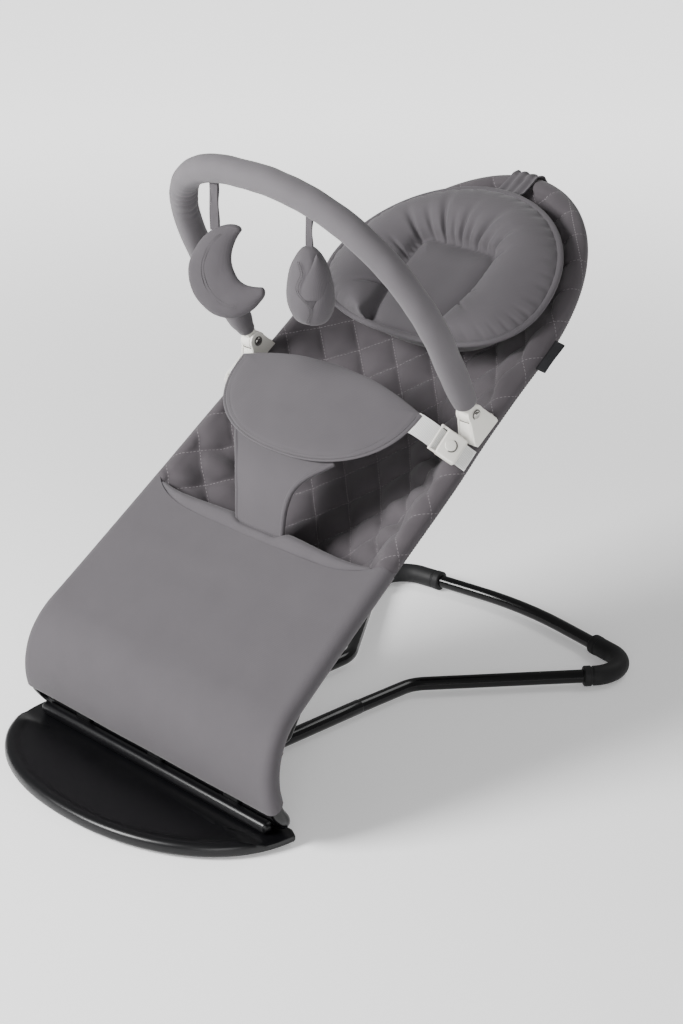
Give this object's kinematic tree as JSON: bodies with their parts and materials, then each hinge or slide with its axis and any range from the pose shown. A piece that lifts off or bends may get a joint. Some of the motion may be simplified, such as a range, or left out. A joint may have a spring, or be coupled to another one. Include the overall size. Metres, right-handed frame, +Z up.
{
  "type": "baby bouncer",
  "caption": "Reclining fabric baby bouncer on a bent tube floor frame with a foot plate, buckled bib, head pillow and a folding arch with hanging toys.",
  "frame": {"origin": "on the floor, under the middle of the bounding box", "axes": "+Z up, -Y towards the foot plate (the child's feet), +X towards the side on the right when the foot plate is seen from in front"},
  "size_m": [0.4212, 0.7277, 0.6501],
  "materials": {
    "black_paint": "gloss black paint",
    "black_plastic": "satin moulded",
    "black_rubber": "matte",
    "grey_fabric": "smooth woven",
    "grey_quilt": "diamond quilted",
    "light_plastic": "satin moulded",
    "light_webbing": "ribbed webbing",
    "dark_label": "plain woven, bare",
    "steel": "bright",
    "arch_plastic": "plain"
  },
  "bodies": {
    "base": {"foot_plate": "black_plastic", "plate_pad_front": "black_rubber", "plate_pad_left": "black_rubber", "plate_pad_right": "black_rubber", "hinge_cover": "black_plastic", "hinge_clamp_left": "black_plastic", "hinge_clamp_middle": "black_plastic", "hinge_clamp_right": "black_plastic", "front_tube_left": "black_paint", "front_tube_right": "black_paint", "tube_screw_left": "steel", "tube_screw_right": "steel", "rear_bow_tube": "black_paint", "corner_sleeve_left": "black_rubber", "corner_sleeve_right": "black_rubber", "stay_bracket_left": "black_plastic", "stay_bracket_right": "black_plastic"},
    "stay": {"recline_stay": "black_paint"},
    "seat_lower": {"lower_loop_tube": "black_paint", "flex_rod_left": "steel", "flex_rod_right": "steel", "stay_saddle_left": "black_plastic", "stay_saddle_right": "black_plastic", "front_panel": "grey_fabric", "seat_pocket": "grey_quilt"},
    "seat_upper": {"upper_loop_tube": "black_paint", "seat_cover": "grey_quilt", "restraint_bib": "grey_fabric", "bib_webbing_left": "light_webbing", "bib_webbing_right": "light_webbing", "seat_webbing_left": "light_webbing", "seat_webbing_right": "light_webbing", "buckle_left": "light_plastic", "buckle_right": "light_plastic", "head_cushion": "grey_fabric", "cushion_hanger": "grey_fabric", "side_label": "dark_label", "arch_bracket_left": "light_plastic", "arch_bracket_right": "light_plastic", "arch_rivet_left": "steel", "arch_rivet_right": "steel"},
    "toy_arch": {"arch_core": "arch_plastic", "arch_cover": "grey_fabric", "arch_tongue_left": "light_plastic", "arch_tongue_right": "light_plastic"},
    "moon": {"moon_strap": "grey_fabric", "moon_toy": "grey_fabric"},
    "egg": {"egg_strap": "grey_fabric", "egg_toy": "grey_fabric"},
    "button_left": {"buckle_button_left": "light_plastic"},
    "button_right": {"buckle_button_right": "light_plastic"}
  },
  "joints": [
    {"name": "seat_recline", "type": "hinge", "parent": "base", "child": "seat_lower", "pos_m": [0, -0.2244, 0.02], "axis": [1, 0, 0], "range_deg": [-33, 0]},
    {"name": "stay_fold", "type": "hinge", "parent": "base", "child": "stay", "pos_m": [0, -0.1184, 0.03], "axis": [1, 0, 0], "range_deg": [-70, 0]},
    {"name": "seat_bounce", "type": "hinge", "parent": "seat_lower", "child": "seat_upper", "pos_m": [0, -0.04711, 0.26044], "axis": [1, 0, 0], "range_deg": [-4, 2.5], "stiffness_Nm_per_rad": 160, "springref_deg": 1.72},
    {"name": "arch_fold", "type": "hinge", "parent": "seat_upper", "child": "toy_arch", "pos_m": [0, 0.06544, 0.38826], "axis": [1, 0, 0], "range_deg": [-70, 35]},
    {"name": "moon_swing", "type": "hinge", "parent": "toy_arch", "child": "moon", "pos_m": [-0.0655, -0.07798, 0.61354], "axis": [1, 0, 0], "range_deg": [-25, 25]},
    {"name": "egg_swing", "type": "hinge", "parent": "toy_arch", "child": "egg", "pos_m": [0.0745, -0.07232, 0.60393], "axis": [1, 0, 0], "range_deg": [-25, 25]},
    {"name": "button_left_press", "type": "slide", "parent": "seat_upper", "child": "button_left", "axis": [0.7295, 0.4068, -0.5498], "range_m": [0, 0.002], "stiffness_N_per_m": 500, "springref_m": -0.001},
    {"name": "button_right_press", "type": "slide", "parent": "seat_upper", "child": "button_right", "axis": [-0.7295, 0.4068, -0.5498], "range_m": [0, 0.002], "stiffness_N_per_m": 500, "springref_m": -0.001}
  ],
  "couplings": [
    {"joint": "stay_fold", "follows": "seat_recline", "ratio": 2.1}
  ]
}
